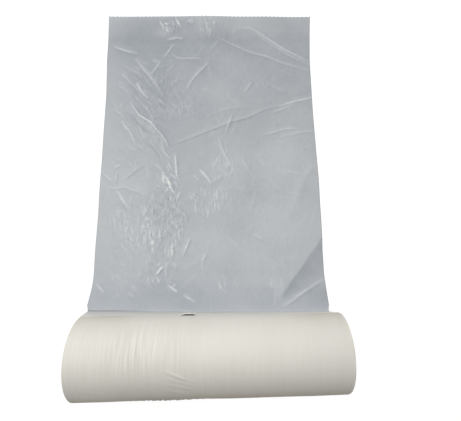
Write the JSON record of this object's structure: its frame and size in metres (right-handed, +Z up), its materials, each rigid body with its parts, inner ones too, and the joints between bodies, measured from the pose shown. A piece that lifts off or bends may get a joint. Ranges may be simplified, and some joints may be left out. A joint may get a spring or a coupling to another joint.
{
  "type": "bin bag roll",
  "caption": "Coreless roll of thin plastic film bags lying on its side, with the first bag drawn off the back of the roll and laid out flat on the floor.",
  "frame": {"origin": "on the floor, at the middle of the narrow flat that the roll rests on", "axes": "+X along the roll's axis, +Y from the roll towards the mouth of the drawn bag, +Z up"},
  "size_m": [0.3, 0.5168, 0.0878],
  "materials": {
    "wound_film": "satin",
    "loose_film": "satin"
  },
  "bodies": {
    "root": {"bag_roll": "wound_film", "drawn_bag": "loose_film"}
  },
  "joints": []
}
